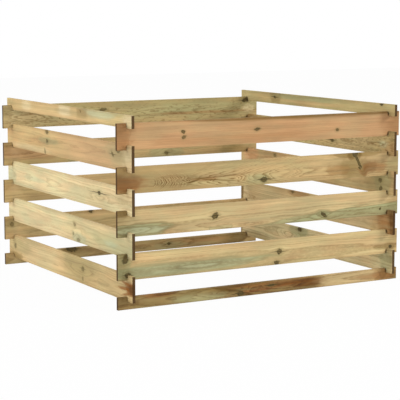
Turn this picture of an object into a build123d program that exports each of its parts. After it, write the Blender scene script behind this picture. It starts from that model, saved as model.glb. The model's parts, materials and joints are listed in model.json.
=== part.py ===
from build123d import *
import os

# Boards of the slatted compost bin, in millimetres
front_length = 1225
side_length = 1135
board_height = 95
half_board_height = 46
board_thickness = 12

# Corners: boards cross in notches cut in both of them, and run on past the crossing
end_overhang = 38
notch_depth = 9
notch_clearance = 3

# Full-height boards on each side, besides the half board that levels its bottom or its top
tiers = 4

# How far crossing boards sink into each other, and the rise between boards of the same side
lap = 2 * notch_depth
tier_rise = 2 * (board_height - lap)
notch_width = board_thickness + 2 * notch_clearance

# Inner faces of the walls, measured from the middle of the bin
front_wall = side_length / 2 - end_overhang - board_thickness
side_wall = front_length / 2 - end_overhang - board_thickness

# Distance between the two crossings on a board, from middle to middle of the boards it crosses
front_notch_spacing = 2 * side_wall + board_thickness
side_notch_spacing = 2 * front_wall + board_thickness


def notched_board(wall, length, height, notch_spacing, notched_edges):
    """A board on edge: the plane gives one face and its bottom, notched_edges the heights that are cut."""
    with BuildPart() as board:
        with BuildSketch(wall):
            Rectangle(length, height, align=(Align.CENTER, Align.MIN))
            for edge in notched_edges:
                with Locations((-notch_spacing / 2, edge), (notch_spacing / 2, edge)):
                    Rectangle(notch_width, 2 * notch_depth, mode=Mode.SUBTRACT)
        extrude(amount=board_thickness)
    return board.part


def save(part, name):
    """Names a finished board and writes its file."""
    part.label = name
    export_step(part, f"parts/{name}.step")


def front_and_back(bottom, height, notched_edges, name):
    """A pair of boards along X, one in the front wall and one in the back wall."""
    for side, face in (("front", -front_wall), ("back", front_wall + board_thickness)):
        wall = Plane((0, face, bottom), x_dir=(1, 0, 0), z_dir=(0, -1, 0))
        board = notched_board(wall, front_length, height, front_notch_spacing, notched_edges)
        save(board, f"{side}_{name}")


def left_and_right(bottom, height, notched_edges, name):
    """A pair of boards along Y, one in the left wall and one in the right wall."""
    for side, face in (("left", -side_wall - board_thickness), ("right", side_wall)):
        wall = Plane((face, 0, bottom), x_dir=(0, 1, 0), z_dir=(1, 0, 0))
        board = notched_board(wall, side_length, height, side_notch_spacing, notched_edges)
        save(board, f"{side}_{name}")


os.makedirs("parts", exist_ok=True)

# Base: half boards at the front and back, notched on top
front_and_back(0, half_board_height, [half_board_height], "base_board")

# Full boards, notched on both edges, laid in turn on the sides and on the front and back
both_edges = [0, board_height]
for tier in range(1, tiers + 1):
    side_bottom = half_board_height - lap + (tier - 1) * tier_rise
    front_bottom = side_bottom + board_height - lap
    left_and_right(side_bottom, board_height, both_edges, f"board_{tier}")
    front_and_back(front_bottom, board_height, both_edges, f"board_{tier}")

# Top: half boards on the left and right, notched underneath
top_bottom = half_board_height - lap + tiers * tier_rise
left_and_right(top_bottom, half_board_height, [0], "top_board")
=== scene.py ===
import json
import math
from collections import namedtuple
from functools import reduce

import bpy
from mathutils import Euler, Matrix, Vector

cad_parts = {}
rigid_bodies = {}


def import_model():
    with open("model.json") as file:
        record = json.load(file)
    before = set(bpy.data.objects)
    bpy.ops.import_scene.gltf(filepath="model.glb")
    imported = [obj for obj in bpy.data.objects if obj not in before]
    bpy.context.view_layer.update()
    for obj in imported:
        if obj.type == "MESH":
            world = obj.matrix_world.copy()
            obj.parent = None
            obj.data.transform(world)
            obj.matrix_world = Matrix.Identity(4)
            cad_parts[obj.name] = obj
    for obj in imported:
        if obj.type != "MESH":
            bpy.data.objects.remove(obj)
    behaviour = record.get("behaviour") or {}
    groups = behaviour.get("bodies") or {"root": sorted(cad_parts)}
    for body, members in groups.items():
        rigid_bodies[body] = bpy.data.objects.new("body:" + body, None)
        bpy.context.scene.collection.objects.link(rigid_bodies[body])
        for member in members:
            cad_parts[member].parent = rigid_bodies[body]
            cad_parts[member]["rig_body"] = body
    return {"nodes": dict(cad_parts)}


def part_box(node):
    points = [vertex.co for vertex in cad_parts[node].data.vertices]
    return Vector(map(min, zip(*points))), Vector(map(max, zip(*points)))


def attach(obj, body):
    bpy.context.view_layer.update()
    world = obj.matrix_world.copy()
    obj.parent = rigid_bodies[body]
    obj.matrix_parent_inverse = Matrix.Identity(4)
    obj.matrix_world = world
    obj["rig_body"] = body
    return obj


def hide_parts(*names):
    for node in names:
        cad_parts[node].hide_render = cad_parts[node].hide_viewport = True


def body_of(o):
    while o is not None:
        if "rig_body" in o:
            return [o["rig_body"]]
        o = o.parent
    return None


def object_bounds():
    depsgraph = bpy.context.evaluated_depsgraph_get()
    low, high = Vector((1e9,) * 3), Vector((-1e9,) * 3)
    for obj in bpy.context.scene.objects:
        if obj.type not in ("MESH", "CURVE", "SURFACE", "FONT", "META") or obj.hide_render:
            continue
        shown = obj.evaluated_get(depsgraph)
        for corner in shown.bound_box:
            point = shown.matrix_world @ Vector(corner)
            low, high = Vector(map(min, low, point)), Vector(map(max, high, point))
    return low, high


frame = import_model()
cad_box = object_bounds()

# Camera, as fitted to the board edges in the photograph
CAMERA_PLACE = Vector((-2.808, -4.964, 1.068))
CAMERA_TURN = math.radians(29.69)
CAMERA_TILT = math.radians(7.76)
CAMERA_LENS = 128.4
CAMERA_REACH = 100

# Studio: even light from all round, square lamps turned towards the bin, and a floor that looks nearly white
AMBIENT_LIGHT = 0.60
Softbox = namedtuple("Softbox", "name place size power")
SOFTBOXES = [
    Softbox("left_softbox", Vector((-4.3, 1.7, 2.6)), 3.0, 92),
    Softbox("front_left_softbox", Vector((-3.2, -4.4, 2.8)), 1.6, 60),
    Softbox("front_right_softbox", Vector((3.8, -3.6, 3.0)), 1.6, 130),
]
FLOOR_SIZE = 30.0
FLOOR_DROP = 0.001
FLOOR_GREY = (0.8, 0.8, 0.8, 1.0)
FLOOR_WHITE = 0.97
WHITE = (1.0, 1.0, 1.0, 1.0)

# How finely a board is divided: along its ends, its notches and its middle, and across its edges and its face
END_COLUMNS = 6
NOTCH_COLUMNS = 4
MIDDLE_COLUMNS = 140
EDGE_ROWS = 3
FACE_ROWS = 12

# Timber. Boards bow and cup by different amounts, up to those given here, and each has noise of its own
EASED_EDGE = 0.0010
EASED_SEGMENTS = 2
EASED_ANGLE = math.radians(40)
SHARP_ANGLE = math.radians(20)
SEATING_GAP = 0.00015
NOTCH_SHIFT = 0.0024
WELD_DISTANCE = 0.00001
MOST_BOW = 0.0012
BOW_TURN = 2.3
END_BOW = -0.2
MOST_CUP = 0.0003
CUP_TURN = 1.7
RIPPLE = 0.0005
RIPPLE_SCALE = 7.0
SEED_STEP = 3.7


def tone(red, green, blue):
    """A colour as it looks on a screen, from 0 to 255, as the linear colour that shaders use."""
    linear = []
    for value in (red, green, blue):
        share = value / 255
        linear.append(share / 12.92 if share <= 0.04045 else ((share + 0.055) / 1.055) ** 2.4)
    return (*linear, 1.0)


# Colours of the wood
STRAW = tone(226, 207, 162)
YELLOW_TAN = tone(207, 187, 132)
ORANGE_TAN = tone(208, 176, 125)
WARM_TAN = tone(205, 180, 133)
TAN = tone(197, 172, 123)
PALE_TAN = tone(214, 188, 138)
PINK_BROWN = tone(200, 160, 116)
PALE_PINK = tone(228, 178, 128)
OLIVE_TAN = tone(195, 176, 125)
GREEN_TAN = tone(162, 164, 119)
GREY_GREEN = tone(190, 194, 155)
OLIVE = tone(140, 116, 64)
UMBER = tone(116, 88, 32)
RED_HEART = tone(160, 106, 56)
DARK_HEART = tone(102, 68, 24)
RESIN = tone(140, 82, 18)
WARM_TINT = (1.03, 0.97, 0.92, 1.0)
COOL_TINT = (0.96, 1.01, 0.97, 1.0)
LATE_TINT = (0.50, 0.41, 0.30, 1.0)
# The next tint darkens the ends as wood that took up water and as painted shade
SOAKED_AND_SHADED_TINT = (0.70, 0.64, 0.55, 1.0)
KNOT_HALO = tone(138, 126, 76)
KNOT_HEART = tone(100, 82, 38)
KNOT_DARK = tone(52, 44, 14)
END_GRAIN = tone(74, 47, 12)
END_RINGS = tone(44, 27, 6)
WORN_EDGE = tone(222, 204, 164)
# The next colour is grime with painted shade at the crossings, and painted shade and shadow lines at the ends
GRIME_AND_SHADE = tone(84, 58, 22)

# How far each mark covers the wood under it
HALO_COVER = 0.30
HEART_COVER = 0.90
DARK_COVER = 0.88
WORN_COVER = 0.15
# The next three covers are for painted shade: grime with painted shade at the crossings, painted shadow lines
# along the edges of the ends, and painted shade along every edge
GRIME_AND_SHADE_COVER = 0.75
SHADOW_LINE_COVER = 0.75
EDGE_SHADE_COVER = 0.28
END_COVER = 0.95

# Growth rings: how far they waver in metres, how unevenly they lie in ring widths, and how far apart the two
# noises lie that move the pith
RING_WAVER = 0.006
RING_UNEVENNESS = 1.6
SWAY_SHIFT = 40.0

# Knots: the rake of the branch, the ragged rim, the rings of the heart, the tails and the grain bent round it
BRANCH_RAKE = 0.3
KNOT_RAGGEDNESS = 1.3
HEART_RINGS = 4.5
HEART_RING_DEPTH = 0.45
TAIL_WOBBLE = 0.010
TAIL_TAPER = 0.25
LEAST_TAIL = 0.001
FADE_ALONG = 0.14
FADE_ACROSS = 0.30
GRAIN_PULL = 0.85

# Spans in metres over which marks at a board's ends, edges, stains and knots come or go
TAIL_WIDTH = (0.0006, 0.0022)
OUTLINE_WIDTH = (0.0008, 0.0032)
ARRIS_WIDTH = (0.0004, 0.0028)
OVERHANG = (0.034, 0.044)
CROSSING_START = (0.035, 0.039)
CROSSING_END = (0.053, 0.058)
CROSSING_HEIGHT = (0.013, 0.021)
# The five spans below mark painted shade beside the crossings, painted shadow lines along the edges of the
# ends, painted shade along every edge, and how far the ends darken, unevenly, as wood that took up water and
# as painted shade
BESIDE_CROSSING = (0.004, 0.024)
EDGE_SHADOW_LINE = (0.0010, 0.0050)
EDGE_SHADE = (0.0, 0.013)
END_SOAK_AND_SHADE = (0.020, 0.075)
SOAK_AND_SHADE_UNEVENNESS = 0.08

# Surface of the wood
RIDGE_HEIGHT = 0.0006
RIDGE_STRENGTH = 0.5
SHEEN = 0.25


# Helpers for node trees

FLOAT = "NodeSocketFloat"
VECTOR = "NodeSocketVector"
SWITCH = "NodeSocketBool"
GEOMETRY = "NodeSocketGeometry"
MATERIAL = "NodeSocketMaterial"
SHADER_TREE = "ShaderNodeTree"
VECTOR_MATHS = "ShaderNodeVectorMath"


class Flow:
    """What flows out of a node's socket. Each sum with a flow adds a node to its tree."""

    def __init__(self, socket):
        self.socket = socket
        self.tree = socket.id_data

    def __add__(self, other):
        return maths("ADD", self, other)

    def __radd__(self, other):
        return maths("ADD", other, self)

    def __sub__(self, other):
        return maths("SUBTRACT", self, other)

    def __rsub__(self, other):
        return maths("SUBTRACT", other, self)

    def __mul__(self, other):
        return maths("MULTIPLY", self, other)

    def __truediv__(self, other):
        return maths("DIVIDE", self, other)

    def __neg__(self):
        return maths("MULTIPLY", self, -1.0)

    def __abs__(self):
        return maths("ABSOLUTE", self)

    def __gt__(self, other):
        return maths("GREATER_THAN", self, other)

    def __lt__(self, other):
        return maths("LESS_THAN", self, other)


def wire(socket, value):
    """Joins a socket to a flow, or sets it to a plain value."""
    if isinstance(value, Flow):
        value.tree.links.new(value.socket, socket)
    else:
        socket.default_value = value


def feed(node, **inputs):
    """Wires a node's sockets by their names, with _ for a space."""
    for name, value in inputs.items():
        wire(node.inputs[name.replace("_", " ")], value)


def new_node(tree, kind, settings=None, **inputs):
    """Adds a node. Settings are its properties and inputs its sockets."""
    node = tree.nodes.new(kind)
    for name, value in (settings or {}).items():
        setattr(node, name, value)
    feed(node, **inputs)
    return node


def add(tree, kind, settings=None, **inputs):
    """Adds a node and returns its first flow."""
    return Flow(new_node(tree, kind, settings, **inputs).outputs[0])


def tree_of(values):
    """The tree of the first flow among several values."""
    return next(value.tree for value in values if isinstance(value, Flow))


def in_order(kind, settings, *values):
    """Adds a node whose sockets take the values in order, and returns its first flow."""
    node = new_node(tree_of(values), kind, settings)
    for socket, value in zip(node.inputs, values):
        wire(socket, value)
    return Flow(node.outputs[0])


def maths(operation, *values, kind="ShaderNodeMath"):
    """A sum on one, two or three values, of which one at least is a flow."""
    return in_order(kind, {"operation": operation}, *values)


def larger(first, second):
    """The larger of two values."""
    return maths("MAXIMUM", first, second)


def smaller(first, second):
    """The smaller of two values."""
    return maths("MINIMUM", first, second)


def largest(values):
    """The largest of several values."""
    return reduce(larger, values)


def hypotenuse(x, y):
    """The distance that two sides at a right angle span."""
    return maths("SQRT", x * x + y * y)


def spread(value, start, end, low=0.0, high=1.0, curve="LINEAR"):
    """Value's way from start to end, as low to high, held at both ends."""
    settings = {"interpolation_type": curve}
    return add(value.tree, "ShaderNodeMapRange", settings, Value=value, From_Min=start, From_Max=end,
               To_Min=low, To_Max=high)


def step(value, start, end):
    """0 before start, 1 after end, and smooth between."""
    return spread(value, start, end, curve="SMOOTHSTEP")


def drop(value, start, end):
    """1 before start, 0 after end, and smooth between."""
    return 1.0 - step(value, start, end)


def flows(node):
    """What flows out of a node, by name."""
    return {socket.name: Flow(socket) for socket in node.outputs}


def parts(vector):
    """The three numbers of a vector."""
    return flows(new_node(vector.tree, "ShaderNodeSeparateXYZ", Vector=vector)).values()


def vector_of(x, y, z):
    """A vector of three numbers."""
    return add(tree_of((x, y, z)), "ShaderNodeCombineXYZ", X=x, Y=y, Z=z)


def shifted(place, by):
    """A place moved by one length along all three axes, which gives each board noise of its own."""
    return maths("ADD", place, vector_of(by, by, by), kind=VECTOR_MATHS)


def noise(place, scale, detail=2.0):
    """Soft noise from 0 to 1."""
    return add(place.tree, "ShaderNodeTexNoise", Vector=place, Scale=scale, Detail=detail)


def noise_along(place, scale, detail=1.0):
    """Soft noise from 0 to 1 on a single number."""
    settings = {"noise_dimensions": "1D"}
    return add(place.tree, "ShaderNodeTexNoise", settings, W=place, Scale=scale, Detail=detail)


def streaks(place, along, across, detail=2.0):
    """Soft noise from 0 to 1, with one scale along the grain and another across it."""
    scaled = maths("MULTIPLY", place, (along, across, across), kind=VECTOR_MATHS)
    return noise(scaled, 1.0, detail)


def mixed(factor, first, second, mode="MIX"):
    """Two colours, mixed."""
    values = (factor, first, second)
    node = new_node(tree_of(values), "ShaderNodeMix", {"data_type": "RGBA", "blend_type": mode})
    colours = [socket for socket in node.inputs if socket.type == "RGBA"]
    for socket, value in zip((node.inputs[0], *colours), values):
        wire(socket, value)
    return Flow(next(socket for socket in node.outputs if socket.type == "RGBA"))


def tinted(colour, tint):
    """A colour times another."""
    return mixed(1.0, colour, tint, "MULTIPLY")


def floats(*names):
    """Sockets for plain numbers, as new_group takes them."""
    return dict.fromkeys(names, FLOAT)


def new_group(name, kind, inputs, outputs):
    """A node group with named sockets. Returns it, what flows into it by name, and the node that ends it."""
    tree = bpy.data.node_groups.new(name, kind)
    for side, sockets in (("INPUT", inputs), ("OUTPUT", outputs)):
        for label, socket_type in sockets.items():
            tree.interface.new_socket(label, in_out=side, socket_type=socket_type)
    given = flows(tree.nodes.new("NodeGroupInput"))
    return tree, given, tree.nodes.new("NodeGroupOutput")


def use_group(tree, group, **inputs):
    """Places a node group in a tree, and returns what flows out of it by name."""
    return flows(new_node(tree, "ShaderNodeGroup", {"node_tree": group}, **inputs))


def lay_mark(tree, group, mark, **places):
    """Places a mark's node group in a tree, with those values of the mark that the group has sockets for."""
    node = new_node(tree, "ShaderNodeGroup", {"node_tree": group}, **places)
    for field, value in mark._asdict().items():
        label = field.replace("_", " ").title()
        if label in node.inputs:
            wire(node.inputs[label], value)
    return flows(node)


def cleared_tree(owner):
    """The empty node tree of a material or a world."""
    owner.use_nodes = True
    owner.node_tree.nodes.clear()
    return owner.node_tree


# Shape of a board


def stepped(count, stretches):
    """Spreads grid lines over stretches of given width: count lines up to each stretch's end."""
    first = 0
    reached = []
    for lines, width in stretches:
        reached.append(spread(count, float(first), float(first + lines), 0.0, width))
        first += lines
    return sum(reached)


def notched_board_tree():
    """A board on edge, notched where it crosses others, slightly bowed and cupped, then put in its place."""
    inputs = {
        **floats("Length", "Height", "Thickness", "Notch Start", "Notch End", "Notch Depth"),
        **floats("Bow", "Cup", "Ripple", "Seed"),
        "Top Notches": SWITCH,
        "Bottom Notches": SWITCH,
        "Centre": VECTOR,
        "Turn": VECTOR,
        "Timber": MATERIAL,
    }
    tree, given, end = new_group("notched_board", "GeometryNodeTree", inputs, {"Board": GEOMETRY})
    half_length = given["Length"] * 0.5
    half_height = given["Height"] * 0.5
    thickness = given["Thickness"]
    notch_start = given["Notch Start"]
    notch_end = given["Notch End"]
    depth = given["Notch Depth"]

    # One face, as a grid whose lines follow the notches
    columns = 2 * END_COLUMNS + 2 * NOTCH_COLUMNS + MIDDLE_COLUMNS
    rows = 2 * EDGE_ROWS + FACE_ROWS
    grid = add(tree, "GeometryNodeMeshGrid", Size_X=columns, Size_Y=rows,
               Vertices_X=columns + 1, Vertices_Y=rows + 1)
    x, y, _ = parts(add(tree, "GeometryNodeInputPosition"))
    end_width = half_length - notch_end
    notch_width = notch_end - notch_start
    reached = stepped(x + columns / 2, [
        (END_COLUMNS, end_width),
        (NOTCH_COLUMNS, notch_width),
        (MIDDLE_COLUMNS, notch_start * 2.0),
        (NOTCH_COLUMNS, notch_width),
        (END_COLUMNS, end_width),
    ])
    risen = stepped(y + rows / 2, [
        (EDGE_ROWS, depth),
        (FACE_ROWS, given["Height"] - depth * 2.0),
        (EDGE_ROWS, depth),
    ])
    on_face = vector_of(reached - half_length, thickness * -0.5, risen - half_height)
    face = add(tree, "GeometryNodeSetPosition", Geometry=grid, Position=on_face)

    # The cells of the notches are cut out
    x, _, z = parts(add(tree, "GeometryNodeInputPosition"))
    in_notch = (abs(x) > notch_start) * (abs(x) < notch_end)
    notch_floor = half_height - depth
    cut_top = (z > notch_floor) * given["Top Notches"]
    cut_bottom = (z < -notch_floor) * given["Bottom Notches"]
    cut = in_notch * larger(cut_top, cut_bottom)
    settings = {"domain": "FACE", "mode": "ALL"}
    outline = add(tree, "GeometryNodeDeleteGeometry", settings, Geometry=face, Selection=cut)

    # The face is drawn out to the board's thickness and closed
    turned = add(tree, "GeometryNodeFlipFaces", Mesh=outline)
    through = vector_of(0.0, thickness, 0.0)
    body = add(tree, "GeometryNodeExtrudeMesh", {"mode": "FACES"}, Mesh=turned, Individual=False,
               Offset=through, Offset_Scale=1.0)
    joined = new_node(tree, "GeometryNodeJoinGeometry", Geometry=body)
    feed(joined, Geometry=outline)
    closed = add(tree, "GeometryNodeMergeByDistance", Geometry=Flow(joined.outputs[0]),
                 Distance=WELD_DISTANCE)

    # Bow along the board, held straight at its crossings, cup across it, and a faint ripple
    point = add(tree, "GeometryNodeInputPosition")
    x, _, z = parts(point)
    share_along = x / notch_start
    share_across = z / half_height
    bow = larger(1.0 - share_along * share_along, END_BOW) * given["Bow"]
    cup = share_across * share_across * given["Cup"]
    ripple = (noise(shifted(point, given["Seed"]), RIPPLE_SCALE) - 0.5) * given["Ripple"]
    warp = vector_of(0.0, bow + cup + ripple, 0.0)
    warped = add(tree, "GeometryNodeSetPosition", Geometry=closed, Offset=warp)

    placed = add(tree, "GeometryNodeTransform", Geometry=warped, Translation=given["Centre"],
                 Rotation=given["Turn"])
    real = add(tree, "GeometryNodeRealizeInstances", Geometry=placed)
    feed(end, Board=add(tree, "GeometryNodeSetMaterial", Geometry=real, Material=given["Timber"]))
    return tree


# Wood


def growth_rings_group():
    """Growth rings about a pith line behind the board, so that its faces, edges and ends show one tree."""
    numbers = floats("Pith Across", "Pith Depth", "Lean", "Wander", "Swell", "Ring Width", "Seed")
    masks = floats("Latewood", "Flecks", "Fibre", "Mottle", "Warmth")
    tree, given, end = new_group("growth_rings", SHADER_TREE, {"Place": VECTOR, **numbers}, masks)
    along, up, through = parts(given["Place"])
    seed = given["Seed"]
    own_place = shifted(given["Place"], seed)

    # The pith wanders and leans along the board, which draws the arches
    own_along = along + seed
    drift = noise_along(own_along, 3.2, 2.0) - 0.5
    sway = noise_along(own_along + SWAY_SHIFT, 2.1) - 0.5
    behind = through + along * given["Lean"] - given["Pith Depth"] + drift * given["Wander"]
    beside = up - given["Pith Across"] + sway * given["Wander"]
    radius = hypotenuse(behind, beside)
    flatness = abs(behind) / radius

    # Rings of uneven width, each with its own depth of colour, swelling round old branches
    waviness = streaks(own_place, 6.0, 55.0, 3.0) - 0.5
    turns = (radius + given["Swell"] + waviness * RING_WAVER) / given["Ring Width"]
    turns = turns + noise_along(turns + seed, 0.45) * RING_UNEVENNESS
    within = maths("FRACT", turns)
    rise_and_fall = step(within, 0.35, 0.92) * drop(within, 0.94, 1.0)
    own_ring = maths("FLOOR", turns) + 0.5
    depth_of_colour = spread(noise_along(own_ring + seed, 1.7), 0.25, 0.70, 0.40, 1.0)
    broken = spread(streaks(own_place, 60.0, 160.0), 0.35, 0.55, 0.45, 1.0)
    flat_sawn = spread(flatness, 0.55, 0.95, 0.45, 1.0)

    fine = streaks(own_place, 9.0, 900.0, 3.0)
    coarse = streaks(own_place, 2.2, 60.0, 4.0)
    feed(
        end,
        Latewood=rise_and_fall * depth_of_colour * broken * flat_sawn,
        Flecks=step(streaks(own_place, 45.0, 130.0, 1.0), 0.54, 0.66),
        Fibre=fine * 0.35 + coarse * 0.65,
        Mottle=streaks(own_place, 5.0, 22.0, 4.0),
        Warmth=streaks(own_place, 6.8, 27.2, 3.0),
    )
    return tree


def knot_group():
    """One knot: its heart and broken dark rim, the thin tails beside it, and the grain bent round it."""
    inputs = {
        "Place": VECTOR,
        "Bent Place": VECTOR,
        **floats("Along", "Across", "Radius", "Stretch", "Slant", "Tail", "Depth"),
    }
    outputs = {"Bent Place": VECTOR, **floats("Heart", "Dark", "Halo")}
    tree, given, end = new_group("knot", SHADER_TREE, inputs, outputs)
    place = given["Place"]
    along, up, through = parts(place)
    off_across = up - given["Across"]
    off_along = along - given["Along"] - (off_across * given["Slant"] + through * BRANCH_RAKE)
    x = off_along / (given["Radius"] * given["Stretch"])
    y = off_across / given["Radius"]
    ragged = noise(place, 130.0, 3.0) - 0.5
    distance = hypotenuse(x, y) + ragged * KNOT_RAGGEDNESS

    # The rim is dark bark, thick in places, and the heart has rings of its own
    heart = drop(distance, 0.75, 1.0)
    rim = step(distance, 0.30, 0.90) * drop(distance, 0.95, 1.35)
    patchy = spread(noise(place, 75.0), 0.35, 0.6, 0.45, 1.0)
    rings = maths("PINGPONG", distance * HEART_RINGS, 1.0)
    bark = larger(rim * patchy, rings * heart * HEART_RING_DEPTH)

    # Tails are thin dark lines that run out along the grain
    wobble = streaks(place, 25.0, 5.0) - 0.5
    narrow = drop(abs(off_across + wobble * TAIL_WOBBLE), *TAIL_WIDTH)
    short = drop(abs(off_along), given["Tail"] * TAIL_TAPER, given["Tail"] + LEAST_TAIL)
    dark = larger(bark, narrow * short)

    # Grain lines pass round the knot, further along the board than across it
    pull = maths("EXPONENT", -(x * x * FADE_ALONG + y * y * FADE_ACROSS))
    bent_along, bent_up, bent_through = parts(given["Bent Place"])
    feed(
        end,
        Bent_Place=vector_of(bent_along, bent_up - off_across * pull * GRAIN_PULL, bent_through),
        Heart=heart * given["Depth"],
        Dark=dark * given["Depth"],
        Halo=drop(distance, 0.9, 2.6),
    )
    return tree


def patch_distance(given, slow_raggedness, quick_raggedness, trail=1.0, slant=0.0):
    """How far a place lies from a long patch's middle, as a share of its half sizes, with a ragged edge.

    Trail is how many times longer the patch is past its middle than before it, and slant is its rise.
    """
    along, up, _ = parts(given["Place"])
    off_along = along - given["Along"]
    off_across = up - given["Across"] - off_along * slant
    share = off_along / given["Half Length"]
    x = larger(share / trail, -share)
    y = off_across / given["Half Width"]
    slow = noise(vector_of(x, y, given["Along"]), 1.6) - 0.5
    quick = streaks(given["Place"], 9.0, 130.0, 3.0) - 0.5
    return hypotenuse(x, y) + slow * slow_raggedness + quick * quick_raggedness


PATCH_INPUTS = {"Place": VECTOR, **floats("Along", "Across", "Half Length", "Half Width")}


def stain_group():
    """A patch of another colour in the wood, drawn out along the grain, with a ragged edge and an outline."""
    inputs = {**PATCH_INPUTS, **floats("Feather", "Slant")}
    tree, given, end = new_group("stain", SHADER_TREE, inputs, floats("Mask", "Outline"))
    feather = given["Feather"]
    distance = patch_distance(given, slow_raggedness=1.1, quick_raggedness=0.25, slant=given["Slant"])
    from_edge = abs(distance - 1.0) * given["Half Width"]
    feed(end, Mask=drop(distance, 1.0 - feather, 1.0 + feather), Outline=drop(from_edge, *OUTLINE_WIDTH))
    return tree


def swell_group():
    """A swelling of the trunk that draws nested arches or an eye in the grain."""
    inputs = {**PATCH_INPUTS, **floats("Rise", "Trail")}
    tree, given, end = new_group("swell", SHADER_TREE, inputs, floats("Swell"))
    distance = patch_distance(given, slow_raggedness=0.4, quick_raggedness=0.1, trail=given["Trail"])
    feed(end, Swell=larger(1.0 - distance, 0.0) * given["Rise"])
    return tree


def arris_group():
    """Where a board's long edges are worn and its grain is cut across, where its ends darken from soaking and
    from painted shade, where painted shade darkens its edges, and where grime and painted shade gather at its
    crossings.
    """
    inputs = {
        "Place": VECTOR,
        **floats("Normal Along", "Length", "Height", "Thickness"),
        **floats("Soak", "Crossed Below", "Crossed Above"),
    }
    masks = floats("Worn", "Cut Across", "Soaked", "Grimy")
    tree, given, end = new_group("arris", SHADER_TREE, inputs, masks)
    place = given["Place"]
    along, up, through = parts(place)
    from_top = given["Height"] - up
    to_edge = smaller(up, from_top)
    to_face = smaller(through, given["Thickness"] - through)
    to_end = smaller(along, given["Length"] - along)
    on_arris = drop(hypotenuse(to_edge, to_face), *ARRIS_WIDTH)
    patchy = step(streaks(place, 22.0, 120.0, 3.0), 0.40, 0.62)

    # Painted shadow lines run along the edges of the ends, painted shade lies in blotches beside the
    # crossings, and grime with painted shade gathers at the crossings, 4 to 5 cm from the ends
    outside = drop(to_end, *OVERHANG)
    shadow_lines = drop(to_edge, *EDGE_SHADOW_LINE) * outside * SHADOW_LINE_COVER
    below = drop(up, *CROSSING_HEIGHT) * given["Crossed Below"]
    above = drop(from_top, *CROSSING_HEIGHT) * given["Crossed Above"]
    crossed = larger(below, above)
    crossing_grime_and_shade = step(to_end, *CROSSING_START) * drop(to_end, *CROSSING_END) * crossed
    # The blotches below are painted shade on the ends beside the crossings
    blotchy = spread(noise(place, 90.0, 3.0), 0.35, 0.60, 0.15, 0.75)
    beside = step(to_end, *BESIDE_CROSSING) * outside * crossed * blotchy

    # The ends darken from water that soaks in and from painted shade, further in some places than in others,
    # and painted shade darkens the wood a little along every edge
    uneven = streaks(place, 8.0, 60.0, 3.0) - 0.5
    soaked_and_shaded = drop(to_end + uneven * SOAK_AND_SHADE_UNEVENNESS, *END_SOAK_AND_SHADE) * given["Soak"]
    edge_shade = drop(to_edge, *EDGE_SHADE) * EDGE_SHADE_COVER
    feed(
        end,
        Worn=on_arris * patchy,
        Cut_Across=step(abs(given["Normal Along"]), 0.55, 0.85),
        Soaked=larger(soaked_and_shaded, edge_shade),
        Grimy=larger(larger(shadow_lines, beside) * given["Soak"], crossing_grime_and_shade),
    )
    return tree


def board_place(tree, low, runs_along_x):
    """Metres along a board, up it and through it from its lowest corner, and its normal along it."""
    coordinates = flows(new_node(tree, "ShaderNodeTexCoord"))
    x, y, z = parts(maths("SUBTRACT", coordinates["Object"], low, kind=VECTOR_MATHS))
    normal_x, normal_y, _ = parts(coordinates["Normal"])
    if runs_along_x:
        return vector_of(x, z, y), normal_x
    return vector_of(y, z, x), normal_y


# A sawn board: its size is its length, height and thickness
Board = namedtuple("Board", "node low size runs_along_x notched_below notched_above seed")


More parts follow.
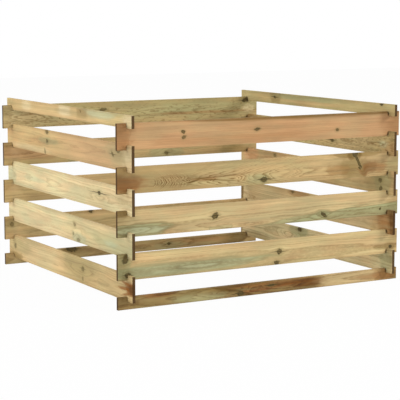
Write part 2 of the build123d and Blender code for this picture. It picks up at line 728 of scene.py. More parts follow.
def treated_pine(board, groups):
    """Pressure-treated pine for one board: its own tree, knots, green and red patches, dark ends, and painted
    shade at its ends, edges and crossings.
    """
    wood = WOOD[board.node]
    wall = board.node.split("_")[0]
    material = bpy.data.materials.new(f"treated_pine_{board.node}")
    tree = cleared_tree(material)
    place, normal_along = board_place(tree, board.low, board.runs_along_x)

    # Knots bend the grain, one after another
    bent = place
    knots = []
    for mark in wood.knots:
        knots.append(lay_mark(tree, groups["knot"], mark, Place=place, Bent_Place=bent))
        bent = knots[-1]["Bent Place"]
    heart, dark, halo = (largest(knot[mask] for knot in knots) for mask in ("Heart", "Dark", "Halo"))
    swells = [lay_mark(tree, groups["swell"], mark, Place=bent)["Swell"] for mark in wood.swells]
    pith_across, pith_depth = wood.pith
    figure = use_group(tree, groups["rings"], Place=bent, Pith_Across=pith_across, Pith_Depth=pith_depth,
                       Lean=wood.lean, Wander=wood.wander, Swell=sum(swells), Ring_Width=wood.ring,
                       Seed=board.seed)

    # Ground colour, warmer and greener in places, then patches, grain lines and fibres
    colour = tinted(mixed(step(figure["Warmth"], 0.35, 0.65), COOL_TINT, WARM_TINT), wood.tone)
    lines = [figure["Latewood"], figure["Flecks"] * wood.flecks]
    grain = 1.0
    for mark in wood.stains:
        stain = lay_mark(tree, groups["stain"], mark, Place=bent)
        streaky = spread(figure["Fibre"], 0.38, 0.58, 0.65 * mark.strength, mark.strength)
        colour = mixed(stain["Mask"] * streaky, colour, mark.colour)
        lines.append(stain["Outline"] * (1.0 - mark.feather) ** 3)
        if mark.grain != 1.0:
            grain = stain["Mask"] * (mark.grain - grain) + grain
    colour = mixed(largest(lines) * grain * wood.figure, colour, tinted(colour, LATE_TINT))
    mottle = spread(figure["Mottle"], 0.3, 0.7, 0.86, 1.10)
    shade = mottle * spread(figure["Fibre"], 0.35, 0.65, 0.83, 1.13)
    colour = tinted(colour, vector_of(shade, shade, shade))

    # Knots, edges and ends, with painted shade at the ends, along the edges and at the crossings
    colour = mixed(halo * HALO_COVER, colour, KNOT_HALO)
    colour = mixed(heart * HEART_COVER, colour, KNOT_HEART)
    colour = mixed(dark * DARK_COVER, colour, KNOT_DARK)
    length, height, thickness = board.size
    grime_and_shade = GRIME_AND_SHADE_AT_CROSSINGS[wall]
    arris = use_group(tree, groups["arris"], Place=place, Normal_Along=normal_along, Length=length,
                      Height=height, Thickness=thickness, Soak=SOAKED_AND_SHADED_ENDS[wall],
                      Crossed_Below=grime_and_shade * board.notched_below, Crossed_Above=grime_and_shade * board.notched_above)
    # The ends darken as wood that took up water and as painted shade, and every edge darkens a little with
    # painted shade
    colour = mixed(arris["Soaked"], colour, tinted(colour, SOAKED_AND_SHADED_TINT))
    colour = mixed(arris["Worn"] * WORN_COVER, colour, WORN_EDGE)
    # Grime and painted shade at the crossings, and painted shade and shadow lines on the ends
    colour = mixed(arris["Grimy"] * GRIME_AND_SHADE_COVER, colour, GRIME_AND_SHADE)
    sawn_end = mixed(figure["Latewood"], END_GRAIN, END_RINGS)
    colour = mixed(arris["Cut Across"] * END_COVER, colour, sawn_end)

    # Surface: ridges along the grain, and knots and grain lines that are a little smoother
    ridges = figure["Fibre"] * 0.7 + figure["Latewood"] * 0.4 + heart * 0.6 - dark
    roughness = spread(figure["Latewood"], 0.0, 1.0, 0.82, 0.68) - heart * 0.15
    bump = add(tree, "ShaderNodeBump", Strength=RIDGE_STRENGTH, Distance=RIDGE_HEIGHT, Height=ridges)
    shader = add(tree, "ShaderNodeBsdfPrincipled", Base_Color=colour, Roughness=roughness, Normal=bump,
                 Specular_IOR_Level=SHEEN)
    new_node(tree, "ShaderNodeOutputMaterial", Surface=shader)
    return material


# How much darker each wall's boards are at their ends, from soaking and from painted shade, and how much
# grime and painted shade gather at their crossings
SOAKED_AND_SHADED_ENDS = {"front": 0.6, "back": 0.25, "left": 0.0, "right": 0.15}
GRIME_AND_SHADE_AT_CROSSINGS = {"front": 1.0, "back": 0.35, "left": 0.3, "right": 1.0}

# Marks in the wood, in metres from a board's left or front end and its lower edge. A knot has a stretch along
# the grain, a slant, a reach of its tails and a depth of colour. A swell draws arches, and its trail is how
# many times longer they run on past its place than before it. A stain has a soft edge of some feather, may
# slant, and may show the grain lines stronger or weaker than the rest of the board.
Knot = namedtuple("Knot", "along across radius stretch slant tail depth", defaults=(1.0,))
Swell = namedtuple("Swell", "along across half_length half_width rise trail", defaults=(1.0,))
Stain = namedtuple("Stain", "along across half_length half_width feather colour strength slant grain",
                   defaults=(0.0, 1.0))

# A board's timber. Pith is how far up the board and how deep behind its front or left face the pith lies,
# lean is how fast that depth lessens along the board, wander how far the pith strays, ring the width of a
# growth ring, and figure and flecks how strongly grain lines and short flecks show.
Timber = namedtuple("Timber", "tone pith lean wander ring figure knots stains swells flecks",
                    defaults=((), 0.0))

# The twenty boards
WOOD = {}
WOOD["front_board_4"] = Timber(
    PINK_BROWN, pith=(-0.06, 0.03), lean=0.004, wander=0.004, ring=0.006, figure=0.6,
    knots=[
        Knot(0.264, 0.055, 0.006, 1.2, -0.3, 0.0, 0.9),
        Knot(0.267, 0.036, 0.006, 1.3, 0.3, 0.0, 0.8),
        Knot(0.576, 0.052, 0.0065, 1.5, 0.5, 0.02, 0.85),
        Knot(0.934, 0.034, 0.0055, 1.3, 0.0, 0.0, 0.85),
    ],
    stains=[
        Stain(0.78, 0.098, 0.5, 0.016, 0.4, UMBER, 0.85),
        Stain(0.0, 0.05, 0.06, 0.05, 0.3, RED_HEART, 0.5),
        Stain(1.22, 0.05, 0.08, 0.06, 0.6, RED_HEART, 0.35),
        Stain(0.45, 0.02, 0.3, 0.016, 0.4, RED_HEART, 0.25),
        Stain(0.68, 0.04, 0.22, 0.04, 0.6, RED_HEART, 0.2),
    ],
)
WOOD["front_board_3"] = Timber(
    TAN, pith=(0.033, 0.024), lean=0.004, wander=0.006, ring=0.0045, figure=1.5,
    knots=[
        Knot(0.606, 0.018, 0.0092, 1.5, 0.0, 0.06),
        Knot(1.031, 0.064, 0.027, 0.22, -0.55, 0.0),
        Knot(1.04, 0.036, 0.005, 1.0, -0.4, 0.0),
        Knot(1.018, 0.09, 0.009, 1.2, 0.0, 0.0),
    ],
    swells=[
        Swell(0.285, 0.033, 0.15, 0.3, 0.066, 3.5),
        Swell(0.258, 0.034, 0.05, 0.01, 0.014),
        Swell(0.345, 0.032, 0.065, 0.009, 0.01),
        Swell(0.48, 0.03, 0.065, 0.014, 0.012),
        Swell(0.76, 0.036, 0.12, 0.018, 0.012),
    ],
    stains=[
        Stain(0.14, 0.05, 0.26, 0.07, 0.6, OLIVE, 0.25),
        Stain(0.17, 0.082, 0.24, 0.03, 0.4, OLIVE, 0.1, grain=0.3),
        Stain(0.17, 0.0, 0.22, 0.014, 0.4, OLIVE, 0.1, grain=0.3),
        Stain(0.22, 0.035, 0.1, 0.017, 0.4, OLIVE, 0.1, grain=1.7),
        Stain(0.11, 0.034, 0.05, 0.04, 0.5, OLIVE, 0.2, grain=0.3),
        Stain(0.03, 0.034, 0.075, 0.028, 0.4, RED_HEART, 0.9, grain=0.2),
        Stain(0.04, 0.034, 0.06, 0.022, 0.4, DARK_HEART, 0.35),
        Stain(0.35, 0.034, 0.055, 0.007, 0.4, RED_HEART, 0.55, grain=0.4),
        Stain(0.31, 0.03, 0.03, 0.003, 0.4, UMBER, 0.85, 0.25),
        Stain(0.345, 0.038, 0.05, 0.003, 0.4, UMBER, 0.75, 0.03),
        Stain(0.375, 0.031, 0.035, 0.003, 0.4, UMBER, 0.8, -0.08),
        Stain(0.44, 0.041, 0.05, 0.002, 0.4, UMBER, 0.6, 0.05),
        Stain(0.43, 0.026, 0.045, 0.002, 0.4, UMBER, 0.6, -0.1),
        Stain(0.76, 0.036, 0.14, 0.04, 0.5, ORANGE_TAN, 0.15, grain=0.55),
        Stain(0.89, 0.06, 0.08, 0.026, 0.5, ORANGE_TAN, 0.8, grain=0.5),
        Stain(1.13, 0.076, 0.08, 0.018, 0.5, ORANGE_TAN, 0.9, grain=0.4),
        Stain(1.015, 0.04, 0.06, 0.046, 0.4, OLIVE, 0.65, grain=0.4),
        Stain(0.955, 0.036, 0.065, 0.026, 0.5, OLIVE, 0.45, grain=0.3),
        Stain(0.94, 0.034, 0.05, 0.018, 0.4, RED_HEART, 0.4),
        Stain(1.1, 0.038, 0.065, 0.02, 0.4, RED_HEART, 0.7, grain=0.3),
        Stain(1.082, 0.04, 0.036, 0.024, 0.5, DARK_HEART, 0.45, grain=0.3),
        Stain(1.03, 0.09, 0.1, 0.01, 0.3, OLIVE, 0.7),
        Stain(1.015, 0.086, 0.03, 0.014, 0.4, UMBER, 0.8),
        Stain(0.575, 0.02, 0.045, 0.018, 0.5, GREEN_TAN, 0.5),
        Stain(1.215, 0.034, 0.045, 0.05, 0.5, GREEN_TAN, 0.4, grain=0.3),
    ],
)
WOOD["front_board_2"] = Timber(
    WARM_TAN, pith=(0.02, 0.05), lean=0.012, wander=0.01, ring=0.006, figure=0.75,
    knots=[
        Knot(0.396, 0.051, 0.0112, 1.1, 0.3, 0.034),
        Knot(0.876, 0.02, 0.01, 0.9, -0.9, 0.01),
        Knot(1.14, 0.024, 0.005, 0.9, 0.2, 0.0),
    ],
    swells=[Swell(0.06, 0.022, 0.18, 0.026, 0.022), Swell(0.55, 0.012, 0.16, 0.014, 0.012)],
    stains=[
        Stain(0.02, 0.02, 0.22, 0.026, 0.12, GREEN_TAN, 0.9, grain=1.2),
        Stain(0.09, 0.02, 0.12, 0.014, 0.15, GREY_GREEN, 0.7),
        Stain(0.92, -0.002, 0.48, 0.036, 0.14, GREEN_TAN, 0.9, 0.094, 1.5),
        Stain(0.72, 0.004, 0.18, 0.017, 0.2, GREEN_TAN, 0.75, 0.12),
        Stain(0.42, 0.003, 0.05, 0.015, 0.25, GREEN_TAN, 0.4),
        Stain(0.015, 0.085, 0.035, 0.012, 0.3, OLIVE, 0.8),
    ],
)
WOOD["front_board_1"] = Timber(
    PALE_TAN, pith=(0.03, 0.045), lean=-0.012, wander=0.008, ring=0.0062, figure=0.75,
    knots=[
        Knot(0.676, 0.049, 0.01, 1.0, 0.0, 0.05, 0.9),
        Knot(0.664, 0.008, 0.007, 1.5, 0.0, 0.0),
        Knot(0.032, 0.077, 0.0165, 0.75, 0.3, 0.0, 0.85),
        Knot(0.04, 0.018, 0.008, 1.6, 0.0, 0.03),
        Knot(1.193, 0.026, 0.006, 1.2, 0.0, 0.01),
    ],
    swells=[Swell(0.34, 0.03, 0.2, 0.02, 0.02), Swell(0.05, 0.03, 0.14, 0.024, 0.012)],
    stains=[
        Stain(0.22, 0.027, 0.44, 0.026, 0.22, GREEN_TAN, 0.92, grain=1.2),
        Stain(0.3, -0.002, 0.26, 0.012, 0.5, OLIVE_TAN, 0.7),
        Stain(0.24, 0.026, 0.34, 0.022, 0.3, GREY_GREEN, 0.4),
        Stain(0.005, 0.06, 0.055, 0.05, 0.3, GREEN_TAN, 0.75),
        Stain(0.33, 0.026, 0.095, 0.009, 0.1, GREY_GREEN, 0.4),
        Stain(0.75, 0.004, 0.2, 0.012, 0.3, OLIVE_TAN, 0.7),
        Stain(1.17, 0.028, 0.06, 0.01, 0.4, OLIVE, 0.6),
    ],
)
WOOD["front_base_board"] = Timber(
    TAN, pith=(0.02, 0.04), lean=0.02, wander=0.016, ring=0.005, figure=1.0,
    knots=[Knot(0.505, 0.012, 0.008, 1.7, 0.0, 0.06), Knot(0.64, 0.03, 0.004, 3.0, 0.0, 0.05)],
    swells=[Swell(0.42, 0.024, 0.14, 0.02, 0.018), Swell(0.7, 0.024, 0.12, 0.016, 0.014)],
    stains=[
        Stain(0.12, 0.026, 0.24, 0.03, 0.4, OLIVE, 0.85),
        Stain(0.16, 0.042, 0.08, 0.01, 0.4, RED_HEART, 0.7),
        Stain(0.46, 0.036, 0.18, 0.018, 0.4, OLIVE, 0.9),
        Stain(0.64, 0.022, 0.24, 0.034, 0.4, UMBER, 0.75),
        Stain(0.66, 0.034, 0.18, 0.01, 0.5, RED_HEART, 0.6),
        Stain(0.8, 0.024, 0.07, 0.016, 0.4, DARK_HEART, 0.95),
        Stain(0.47, 0.042, 0.07, 0.008, 0.4, DARK_HEART, 0.7),
        Stain(1.0, 0.024, 0.13, 0.05, 0.3, PALE_TAN, 0.9),
        Stain(0.33, 0.012, 0.12, 0.02, 0.4, GREEN_TAN, 0.6),
        Stain(0.2, 0.043, 0.06, 0.006, 0.3, DARK_HEART, 0.75, 0.06),
        Stain(0.46, 0.026, 0.09, 0.005, 0.3, UMBER, 0.9, -0.25),
        Stain(0.5, 0.018, 0.06, 0.004, 0.3, DARK_HEART, 0.7, -0.25),
        Stain(0.62, 0.02, 0.12, 0.006, 0.4, RED_HEART, 0.9, 0.06),
        Stain(0.72, 0.032, 0.1, 0.006, 0.3, DARK_HEART, 0.7, 0.05),
        Stain(0.78, 0.026, 0.09, 0.014, 0.5, RESIN, 0.45),
        Stain(1.16, 0.02, 0.12, 0.012, 0.4, RESIN, 0.6),
        Stain(1.2, 0.02, 0.05, 0.04, 0.4, OLIVE, 0.5),
        Stain(1.165, 0.022, 0.05, 0.03, 0.5, RED_HEART, 0.6),
    ],
)
WOOD["left_top_board"] = Timber(
    YELLOW_TAN, pith=(0.08, 0.05), lean=0.008, wander=0.008, ring=0.006, figure=0.45,
    knots=[Knot(0.416, 0.036, 0.0045, 0.8, 0.5, 0.0, 0.7)],
    stains=[
        Stain(0.7, 0.02, 0.42, 0.05, 0.5, ORANGE_TAN, 0.8),
        Stain(0.25, 0.034, 0.14, 0.016, 0.4, GREY_GREEN, 0.8),
        Stain(0.0, 0.02, 0.07, 0.03, 0.4, STRAW, 0.9),
        Stain(0.405, 0.024, 0.045, 0.05, 0.5, OLIVE, 0.55),
        Stain(0.56, 0.024, 0.05, 0.04, 0.6, STRAW, 0.9),
        Stain(0.93, 0.024, 0.04, 0.03, 0.6, STRAW, 0.7),
        Stain(0.7, 0.004, 0.45, 0.01, 0.6, ORANGE_TAN, 0.8),
    ],
)
WOOD["left_board_4"] = Timber(
    ORANGE_TAN, pith=(0.055, 0.06), lean=0.008, wander=0.008, ring=0.0065, figure=0.5,
    knots=[
        Knot(0.732, 0.089, 0.0075, 1.8, 0.0, 0.0, 0.75),
        Knot(0.73, 0.053, 0.0065, 1.5, 0.0, 0.01, 0.7),
        Knot(0.752, 0.012, 0.009, 0.6, 0.3, 0.0, 0.5),
        Knot(0.105, 0.072, 0.009, 1.5, 0.0, 0.02, 0.6),
        Knot(0.15, 0.054, 0.0075, 0.9, 0.6, 0.04, 0.7),
    ],
    swells=[Swell(0.12, 0.06, 0.1, 0.02, 0.014)],
    stains=[
        Stain(0.2, 0.05, 0.38, 0.09, 0.7, TAN, 0.7),
        Stain(0.26, 0.05, 0.36, 0.09, 0.7, PINK_BROWN, 0.75),
        Stain(0.09, 0.056, 0.11, 0.04, 0.5, GREEN_TAN, 0.5),
        Stain(0.01, 0.04, 0.05, 0.05, 0.6, STRAW, 0.6),
        Stain(0.72, 0.054, 0.09, 0.012, 0.4, GREEN_TAN, 0.6),
        Stain(0.9, 0.012, 0.18, 0.012, 0.6, STRAW, 0.5),
    ],
)
WOOD["left_board_3"] = Timber(
    STRAW, pith=(0.045, 0.052), lean=0.012, wander=0.012, ring=0.0064, figure=0.5,
    knots=[Knot(0.262, 0.056, 0.007, 1.4, 0.0, 0.11)],
    swells=[Swell(0.82, 0.046, 0.13, 0.024, 0.01), Swell(0.26, 0.04, 0.1, 0.02, 0.012)],
    stains=[
        Stain(1.1, 0.035, 0.05, 0.03, 0.4, GREY_GREEN, 0.6),
        Stain(0.06, 0.06, 0.08, 0.03, 0.5, TAN, 0.4),
        Stain(0.28, 0.05, 0.12, 0.06, 0.6, TAN, 0.3),
        Stain(0.86, 0.044, 0.1, 0.01, 0.5, GREY_GREEN, 0.5),
    ],
)
WOOD["left_board_2"] = Timber(
    STRAW, pith=(0.04, 0.065), lean=0.01, wander=0.01, ring=0.0066, figure=0.45,
    knots=[
        Knot(0.48, 0.066, 0.0075, 1.3, 0.3, 0.0, 0.5),
        Knot(0.492, 0.028, 0.0055, 1.0, 0.0, 0.0, 0.45),
        Knot(0.445, 0.01, 0.008, 1.6, 0.0, 0.0, 0.5),
    ],
    swells=[Swell(0.46, 0.03, 0.06, 0.03, 0.006)],
    stains=[
        Stain(0.36, 0.05, 0.22, 0.08, 0.6, YELLOW_TAN, 0.35),
        Stain(0.08, 0.03, 0.26, 0.04, 0.4, GREEN_TAN, 0.6),
        Stain(0.17, 0.032, 0.06, 0.012, 0.5, GREY_GREEN, 0.8),
        Stain(0.44, 0.016, 0.06, 0.02, 0.4, GREY_GREEN, 0.7),
    ],
)
WOOD["left_board_1"] = Timber(
    PALE_TAN, pith=(0.035, 0.045), lean=0.01, wander=0.012, ring=0.006, figure=0.6,
    knots=[
        Knot(0.412, 0.058, 0.009, 1.2, 0.0, 0.04, 0.5),
        Knot(0.413, 0.02, 0.008, 0.6, 0.0, 0.0, 0.4),
        Knot(1.07, 0.05, 0.009, 1.2, 0.0, 0.02, 0.5),
    ],
    swells=[Swell(0.43, 0.045, 0.16, 0.024, 0.014)],
    stains=[
        Stain(0.1, 0.035, 0.2, 0.06, 0.5, TAN, 0.8),
        Stain(0.82, 0.05, 0.18, 0.06, 0.6, STRAW, 0.4),
        Stain(0.42, 0.066, 0.15, 0.05, 0.5, OLIVE_TAN, 0.9),
        Stain(0.45, 0.05, 0.13, 0.05, 0.6, OLIVE, 0.3),
        Stain(0.0, 0.048, 0.06, 0.024, 0.3, RESIN, 1.0),
        Stain(0.05, 0.046, 0.07, 0.006, 0.4, RESIN, 0.9, -0.08),
        Stain(0.04, 0.062, 0.06, 0.005, 0.4, RESIN, 0.8, 0.15),
        Stain(0.03, 0.03, 0.05, 0.005, 0.4, RESIN, 0.8, -0.25),
        Stain(0.005, 0.046, 0.024, 0.016, 0.4, DARK_HEART, 0.95),
        Stain(1.03, 0.055, 0.1, 0.03, 0.5, OLIVE_TAN, 0.8),
        Stain(1.08, 0.012, 0.08, 0.016, 0.4, OLIVE, 0.8),
    ],
)
WOOD["back_board_4"] = Timber(
    OLIVE_TAN, pith=(0.04, -0.03), lean=-0.012, wander=0.01, ring=0.0036, figure=1.0,
    flecks=0.6,
    knots=[Knot(1.165, 0.08, 0.009, 1.7, 0.2, 0.06), Knot(0.455, 0.062, 0.007, 2.2, 0.0, 0.03, 0.7)],
    swells=[
        Swell(0.14, 0.04, 0.2, 0.03, 0.014),
        Swell(0.8, 0.04, 0.44, 0.034, 0.012),
        Swell(1.16, 0.06, 0.08, 0.03, 0.014),
    ],
    stains=[
        Stain(0.08, 0.05, 0.14, 0.07, 0.6, STRAW, 0.35),
        Stain(0.9, 0.06, 0.36, 0.03, 0.5, GREEN_TAN, 0.5),
        Stain(0.3, 0.04, 0.14, 0.03, 0.5, GREEN_TAN, 0.4),
        Stain(1.18, 0.045, 0.03, 0.02, 0.4, STRAW, 0.6),
        Stain(0.95, 0.034, 0.2, 0.006, 0.4, RED_HEART, 0.5),
        Stain(0.75, 0.09, 0.5, 0.018, 0.4, OLIVE, 0.25, grain=0.35),
    ],
)
WOOD["back_board_3"] = Timber(
    TAN, pith=(0.06, -0.06), lean=0.012, wander=0.01, ring=0.0056, figure=0.7,
    knots=[Knot(0.76, 0.016, 0.007, 1.3, 0.0, 0.03, 0.7)],
    swells=[Swell(0.78, 0.03, 0.1, 0.03, 0.014)],
    stains=[
        Stain(0.12, 0.05, 0.18, 0.03, 0.4, PINK_BROWN, 0.8),
        Stain(0.76, 0.016, 0.08, 0.03, 0.4, GREEN_TAN, 0.6),
        Stain(0.36, 0.012, 0.07, 0.03, 0.4, GREEN_TAN, 0.8),
        Stain(1.12, 0.012, 0.08, 0.02, 0.4, OLIVE, 0.6),
    ],
)
WOOD["back_board_2"] = Timber(
    PALE_TAN, pith=(0.04, -0.05), lean=0.014, wander=0.01, ring=0.0058, figure=0.6,
    knots=[Knot(0.28, 0.06, 0.008, 1.3, 0.2, 0.04), Knot(0.83, 0.03, 0.008, 1.2, 0.0, 0.05)],
    stains=[Stain(0.15, 0.014, 0.3, 0.03, 0.4, OLIVE_TAN, 0.6)],
)
WOOD["back_board_1"] = Timber(
    PALE_TAN, pith=(0.07, -0.045), lean=-0.012, wander=0.012, ring=0.0056, figure=0.7,
    knots=[Knot(0.03, 0.062, 0.009, 0.9, 0.0, 0.0, 0.55), Knot(0.392, 0.091, 0.0065, 1.3, 0.0, 0.02)],
    swells=[Swell(0.2, 0.03, 0.14, 0.02, 0.012)],
    stains=[
        Stain(0.02, 0.06, 0.05, 0.03, 0.4, OLIVE_TAN, 0.7),
        Stain(0.95, 0.02, 0.3, 0.03, 0.4, GREEN_TAN, 0.6),
        Stain(0.3, 0.04, 0.25, 0.03, 0.5, OLIVE_TAN, 0.6),
    ],
)
WOOD["back_base_board"] = Timber(
    TAN, pith=(0.02, -0.05), lean=0.012, wander=0.012, ring=0.0052, figure=0.8,
    knots=[Knot(0.3, 0.04, 0.012, 2.0, -0.5, 0.06), Knot(0.77, 0.024, 0.006, 1.3, 0.0, 0.03)],
    swells=[Swell(0.8, 0.024, 0.12, 0.02, 0.012)],
    stains=[
        Stain(0.6, 0.02, 0.5, 0.04, 0.3, OLIVE, 0.1),
        Stain(0.9, 0.03, 0.2, 0.012, 0.5, RED_HEART, 0.4),
        Stain(0.77, 0.016, 0.07, 0.02, 0.5, GREEN_TAN, 0.5),
        Stain(1.15, 0.02, 0.1, 0.04, 0.5, OLIVE, 0.5),
        Stain(0.32, 0.03, 0.08, 0.03, 0.4, DARK_HEART, 0.15),
    ],
)
WOOD["right_top_board"] = Timber(
    OLIVE_TAN, pith=(-0.03, -0.04), lean=0.01, wander=0.008, ring=0.0054, figure=0.7,
    knots=[Knot(0.085, 0.042, 0.005, 1.6, 0.0, 0.02), Knot(0.855, 0.028, 0.005, 1.4, 0.3, 0.04)],
    stains=[
        Stain(0.6, 0.034, 0.28, 0.014, 0.4, GREEN_TAN, 0.7),
        Stain(0.6, 0.018, 0.24, 0.008, 0.4, ORANGE_TAN, 0.5),
        Stain(0.85, 0.03, 0.04, 0.03, 0.5, OLIVE, 0.6),
        Stain(0.3, 0.02, 0.12, 0.02, 0.5, YELLOW_TAN, 0.6),
    ],
)
WOOD["right_board_4"] = Timber(
    OLIVE_TAN, pith=(0.042, -0.034), lean=0.012, wander=0.012, ring=0.0038, figure=1.0,
    flecks=0.6,
    knots=[Knot(0.42, 0.03, 0.007, 1.5, 0.3, 0.04)],
    swells=[Swell(0.1, 0.04, 0.18, 0.03, 0.014)],
    stains=[
        Stain(0.29, 0.05, 0.15, 0.08, 0.6, PALE_TAN, 0.8),
        Stain(0.07, 0.042, 0.03, 0.014, 0.4, GREY_GREEN, 0.6),
        Stain(1.05, 0.08, 0.1, 0.02, 0.4, RED_HEART, 0.5),
        Stain(0.02, 0.02, 0.05, 0.03, 0.5, RED_HEART, 0.4),
    ],
)
WOOD["right_board_3"] = Timber(
    PALE_TAN, pith=(0.05, -0.06), lean=0.01, wander=0.01, ring=0.0056, figure=0.65,
    knots=[
        Knot(0.085, 0.052, 0.0075, 1.5, 0.0, 0.01, 0.7),
        Knot(0.082, 0.02, 0.0095, 0.9, -0.3, 0.0, 0.7),
        Knot(0.85, 0.082, 0.007, 1.5, 0.0, 0.02, 0.45),
    ],
    stains=[
        Stain(0.07, 0.04, 0.06, 0.05, 0.4, GREEN_TAN, 0.7),
        Stain(0.1, 0.034, 0.1, 0.05, 0.5, OLIVE, 0.45),
        Stain(0.46, 0.02, 0.1, 0.03, 0.5, OLIVE, 0.35),
        Stain(0.85, 0.08, 0.08, 0.03, 0.5, OLIVE, 0.3),
        Stain(0.86, 0.07, 0.1, 0.04, 0.5, PINK_BROWN, 0.5),
        Stain(1.05, 0.075, 0.06, 0.04, 0.5, PALE_PINK, 0.9),
    ],
)
WOOD["right_board_2"] = Timber(
    PALE_TAN, pith=(0.03, -0.05), lean=-0.012, wander=0.01, ring=0.0056, figure=0.65,
    knots=[Knot(0.71, 0.09, 0.006, 1.4, 0.0, 0.03, 0.6), Knot(0.045, 0.008, 0.006, 1.3, 0.0, 0.0)],
    stains=[
        Stain(0.04, 0.045, 0.075, 0.08, 0.6, RESIN, 0.75),
        Stain(0.0, 0.055, 0.026, 0.07, 0.5, DARK_HEART, 0.8),
        Stain(0.66, 0.085, 0.08, 0.014, 0.4, RED_HEART, 0.6),
        Stain(0.95, 0.04, 0.22, 0.06, 0.5, STRAW, 0.55),
        Stain(0.24, 0.03, 0.12, 0.05, 0.5, STRAW, 0.7),
        Stain(1.135, 0.05, 0.02, 0.09, 0.3, UMBER, 0.9),
    ],
)
WOOD["right_board_1"] = Timber(
    STRAW, pith=(0.055, -0.05), lean=0.012, wander=0.01, ring=0.0056, figure=0.65,
    knots=[Knot(0.65, 0.088, 0.0085, 1.7, 0.0, 0.03), Knot(0.34, 0.04, 0.007, 1.3, 0.0, 0.04)],
    swells=[Swell(0.74, 0.055, 0.1, 0.024, 0.018)],
    stains=[
        Stain(0.66, 0.078, 0.07, 0.025, 0.4, GREEN_TAN, 0.8),
        Stain(0.04, 0.05, 0.05, 0.05, 0.4, GREEN_TAN, 0.7),
        Stain(1.0, 0.01, 0.1, 0.02, 0.5, OLIVE, 0.5),
        Stain(1.135, 0.05, 0.014, 0.09, 0.3, UMBER, 0.8),
    ],
)


# Boards


def levels(node, axis):
    """The distinct places of a CAD board's corners along one axis, in order."""
    places = {round(vertex.co[axis], 6) for vertex in frame["nodes"][node].data.vertices}
    return sorted(places)


def set_inputs(modifier, values):
    """Sets a Geometry Nodes modifier's inputs by their names."""
    for item in modifier.node_group.interface.items_tree:
        if item.item_type == "SOCKET" and item.in_out == "INPUT":
            modifier[item.identifier] = values[item.name]


def lay_board(node, number, shape, groups):
    """Saws one board after its CAD solid, with eased edges, and lets it ride on that solid's body."""
    low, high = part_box(node)
    middle = (low + high) / 2
    x_size, y_size, height = high - low
    runs_along_x = x_size > y_size
    length_axis = 0 if runs_along_x else 1
    length = max(x_size, y_size)
    thickness = min(x_size, y_size)
    notch_ends = [abs(place - middle[length_axis]) for place in levels(node, length_axis)[1:3]]
    notched_below = not node.endswith("base_board")
    notched_above = not node.endswith("top_board")
    heights = levels(node, 2)
    notch_depth = heights[1] - heights[0] if notched_below else heights[-1] - heights[-2]
    size = (length, height, thickness)
    sawn = Board(node, low, size, runs_along_x, notched_below, notched_above, SEED_STEP * number)

    board = bpy.data.objects.new(f"{node}_plank", bpy.data.meshes.new(f"{node}_plank"))
    bpy.context.scene.collection.objects.link(board)
    notched = board.modifiers.new("notched_board", "NODES")
    notched.node_group = shape
    set_inputs(notched, {
        "Length": length,
        "Height": height,
        "Thickness": thickness,
        "Notch Start": min(notch_ends) - NOTCH_SHIFT,
        "Notch End": max(notch_ends) - NOTCH_SHIFT,
        "Notch Depth": notch_depth + SEATING_GAP,
        "Top Notches": notched_above,
        "Bottom Notches": notched_below,
        "Bow": MOST_BOW * math.sin(BOW_TURN * number),
        "Cup": MOST_CUP * math.cos(CUP_TURN * number),
        "Ripple": RIPPLE,
        "Seed": sawn.seed,
        "Centre": middle,
        "Turn": Euler((0, 0, 0 if runs_along_x else math.radians(90))),
        "Timber": treated_pine(sawn, groups),
    })
    eased = board.modifiers.new("eased_edges", "BEVEL")
    eased.width = EASED_EDGE
    eased.segments = EASED_SEGMENTS
    eased.limit_method = "ANGLE"
    eased.angle_limit = EASED_ANGLE
    finished = bpy.data.meshes.new_from_object(board.evaluated_get(bpy.context.evaluated_depsgraph_get()))
    board.modifiers.clear()
    board.data = finished
    finished.shade_smooth()
    finished.set_sharp_from_angle(angle=SHARP_ANGLE)
    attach(board, body_of(frame["nodes"][node])[0])
    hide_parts(node)


# Studio


def seen_directly(tree):
    """1 where a ray comes from the camera, a reflection or a glassy surface, and 0 for the light itself."""
    path = flows(new_node(tree, "ShaderNodeLightPath"))
    return largest(path[f"Is {kind} Ray"] for kind in ("Camera", "Glossy", "Transmission"))


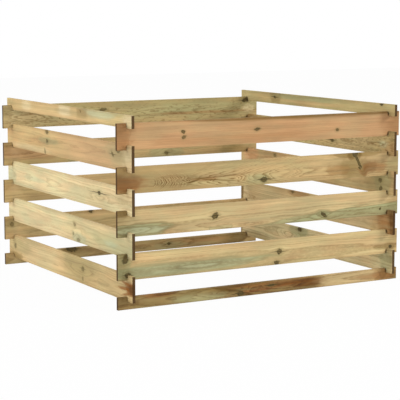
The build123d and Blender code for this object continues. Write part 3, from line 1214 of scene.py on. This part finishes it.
def lay_floor():
    """A plain pale floor that looks white and keeps a faint shadow."""
    half = FLOOR_SIZE / 2
    corners = [(-half, -half, 0), (half, -half, 0), (half, half, 0), (-half, half, 0)]
    mesh = bpy.data.meshes.new("floor")
    mesh.from_pydata(corners, [], [(0, 1, 2, 3)])
    floor = bpy.data.objects.new("floor", mesh)
    floor.location.z = -FLOOR_DROP
    bpy.context.scene.collection.objects.link(floor)
    material = bpy.data.materials.new("pale_floor")
    tree = cleared_tree(material)
    matt = add(tree, "ShaderNodeBsdfDiffuse", Color=FLOOR_GREY)
    white = add(tree, "ShaderNodeEmission", Strength=1.0)
    both = in_order("ShaderNodeMixShader", {}, seen_directly(tree) * FLOOR_WHITE, matt, white)
    new_node(tree, "ShaderNodeOutputMaterial", Surface=both)
    mesh.materials.append(material)


def light_world():
    """Even light from all round, with a white background."""
    world = bpy.data.worlds.new("studio")
    tree = cleared_tree(world)
    ambient = add(tree, "ShaderNodeBackground", Color=WHITE, Strength=AMBIENT_LIGHT)
    white = add(tree, "ShaderNodeBackground", Color=WHITE, Strength=1.0)
    both = in_order("ShaderNodeMixShader", {}, seen_directly(tree), ambient, white)
    new_node(tree, "ShaderNodeOutputWorld", Surface=both)
    bpy.context.scene.world = world


def hang_softbox(softbox, target):
    """A large square lamp turned towards a point."""
    lamp = bpy.data.lights.new(softbox.name, "AREA")
    lamp.shape = "SQUARE"
    lamp.size = softbox.size
    lamp.energy = softbox.power
    holder = bpy.data.objects.new(softbox.name, lamp)
    holder.location = softbox.place
    holder.rotation_euler = (target - softbox.place).to_track_quat("-Z", "Y").to_euler()
    bpy.context.scene.collection.objects.link(holder)


def set_camera():
    """The photograph's camera: front left, a little above the bin."""
    camera = bpy.data.objects.new("camera", bpy.data.cameras.new("camera"))
    camera.data.lens = CAMERA_LENS
    camera.data.clip_end = CAMERA_REACH
    camera.location = CAMERA_PLACE
    camera.rotation_euler = (math.radians(90) - CAMERA_TILT, 0, -CAMERA_TURN)
    bpy.context.scene.collection.objects.link(camera)
    bpy.context.scene.camera = camera


wood_groups = {
    "rings": growth_rings_group(),
    "knot": knot_group(),
    "stain": stain_group(),
    "swell": swell_group(),
    "arris": arris_group(),
}
board_shape = notched_board_tree()
for board_number, board_node in enumerate(sorted(frame["nodes"])):
    lay_board(board_node, board_number, board_shape, wood_groups)

bin_middle = (cad_box[0] + cad_box[1]) / 2
lay_floor()
light_world()
for lamp in SOFTBOXES:
    hang_softbox(lamp, bin_middle)
set_camera()
bpy.context.scene.view_settings.view_transform = "Standard"
